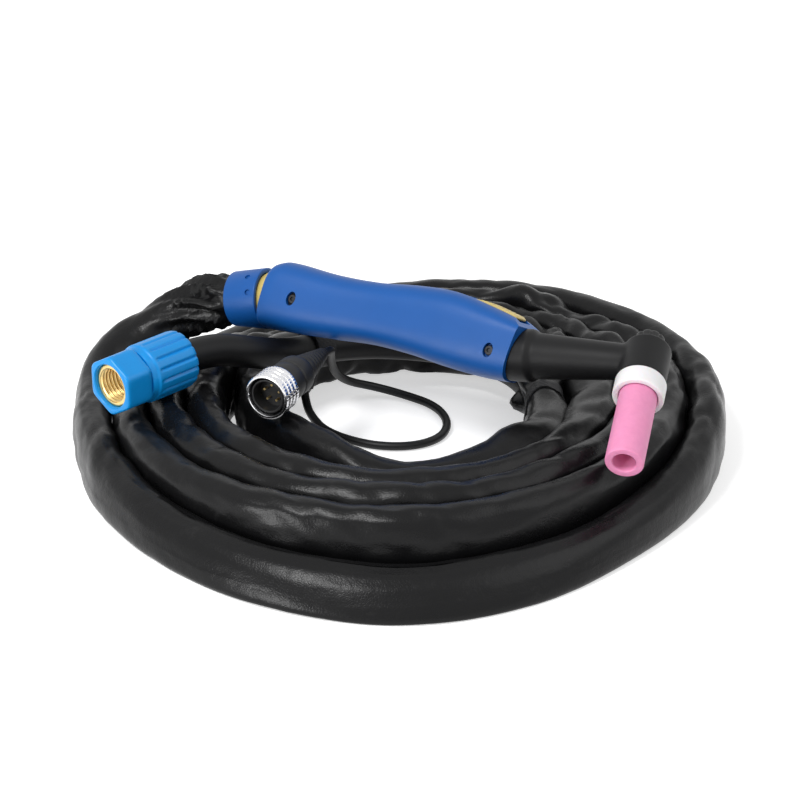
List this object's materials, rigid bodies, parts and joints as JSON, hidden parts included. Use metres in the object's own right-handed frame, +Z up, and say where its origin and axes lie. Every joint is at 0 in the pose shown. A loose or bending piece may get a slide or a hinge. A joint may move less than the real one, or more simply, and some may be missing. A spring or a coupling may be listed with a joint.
{
  "type": "tig torch",
  "caption": "TIG welding torch with swivel handle and trigger, lying on its coiled leather cable sleeve, with gas and power connector and control plug.",
  "frame": {"origin": "centre of the coil, on the floor that it lies on", "axes": "+Z up; the viewer looks along +Y, with the connector at -X and the torch's head at +X"},
  "size_m": [0.2872, 0.2906, 0.0747],
  "materials": {
    "sleeve": "semi-gloss",
    "band": "matt",
    "handle_blue": "grained",
    "connector_blue": "satin",
    "yellow": "satin",
    "black_plastic": "matt",
    "neck_rubber": "matt",
    "hose_rubber": "matt",
    "wire": "satin",
    "steel": "satin",
    "chrome": "polished",
    "brass": "machined",
    "copper": "machined",
    "white_ptfe": "smooth",
    "alumina": "unglazed"
  },
  "bodies": {
    "cable_set": {"cable_sleeve_coil": "sleeve", "cable_sleeve_lead": "sleeve", "sleeve_end_band": "band", "sleeve_collar": "handle_blue", "sleeve_clamp_ring": "steel", "power_cable": "hose_rubber", "cable_strap": "band", "control_cable": "wire", "connector_spigot": "brass", "connector_seal": "hose_rubber", "connector_ferrule": "brass", "plug_shell": "black_plastic", "plug_insert": "black_plastic", "plug_pins": "brass", "plug_boot": "black_plastic"},
    "knuckle": {"swivel_ball": "yellow", "swivel_clip": "steel"},
    "handle": {"handle_shell_near": "handle_blue", "handle_shell_far": "handle_blue", "ball_seat": "black_plastic", "handle_screws": "steel", "neck_cover": "neck_rubber", "head_core": "brass", "neck_tube": "brass", "hose_nut": "brass", "torch_hose": "hose_rubber", "gasket": "white_ptfe", "collet_body": "copper", "collet": "copper", "trigger_pin": "steel", "trigger_spring": "steel", "switch_body": "black_plastic", "switch_lead": "wire"},
    "nozzle": {"nozzle": "alumina"},
    "back_cap": {"back_cap": "black_plastic", "back_cap_ring": "hose_rubber"},
    "trigger": {"trigger": "yellow"},
    "plunger": {"switch_plunger": "white_ptfe"},
    "connector": {"connector_sleeve": "connector_blue", "connector_nut": "brass"},
    "plug_ring": {"plug_coupling_ring": "chrome"}
  },
  "joints": [
    {"name": "knuckle_turn", "type": "hinge", "parent": "cable_set", "child": "knuckle", "pos_m": [-0.0566, 0.0474, 0.054], "axis": [-0.8969, 0.4062, -0.1748], "range_deg": [0, 90]},
    {"name": "knuckle_tilt", "type": "hinge", "parent": "knuckle", "child": "handle", "pos_m": [-0.0566, 0.0474, 0.054], "axis": [-0.4386, -0.7666, 0.4691], "range_deg": [0, 15]},
    {"name": "trigger_press", "type": "hinge", "parent": "handle", "child": "trigger", "pos_m": [0.02026, 0.01187, 0.06779], "axis": [0.4386, 0.7666, -0.4691], "range_deg": [0, 3.5], "stiffness_Nm_per_rad": 0.6, "springref_deg": -5.73, "deforming": ["trigger_spring"]},
    {"name": "plunger_press", "type": "slide", "parent": "handle", "child": "plunger", "axis": [-0.1915, -0.4302, -0.8822], "range_m": [0, 0.0007]},
    {"name": "nozzle_turn", "type": "hinge", "parent": "handle", "child": "nozzle", "pos_m": [0.09704, -0.03656, 0.06045], "axis": [-0.2163, -0.9171, -0.3348], "continuous": true},
    {"name": "back_cap_turn", "type": "hinge", "parent": "handle", "child": "back_cap", "pos_m": [0.09704, -0.03656, 0.06045], "axis": [-0.2163, -0.9171, -0.3348], "continuous": true},
    {"name": "connector_turn", "type": "hinge", "parent": "cable_set", "child": "connector", "pos_m": [-0.1237, -0.0299, 0.04681], "axis": [-0.682, -0.7314, 0], "continuous": true},
    {"name": "plug_ring_turn", "type": "hinge", "parent": "cable_set", "child": "plug_ring", "pos_m": [-0.0588, -0.033, 0.0433], "axis": [-0.4462, -0.8949, 0], "continuous": true}
  ],
  "couplings": [
    {"joint": "plunger_press", "follows": "trigger_press", "m_per_rad": 0.0102}
  ]
}
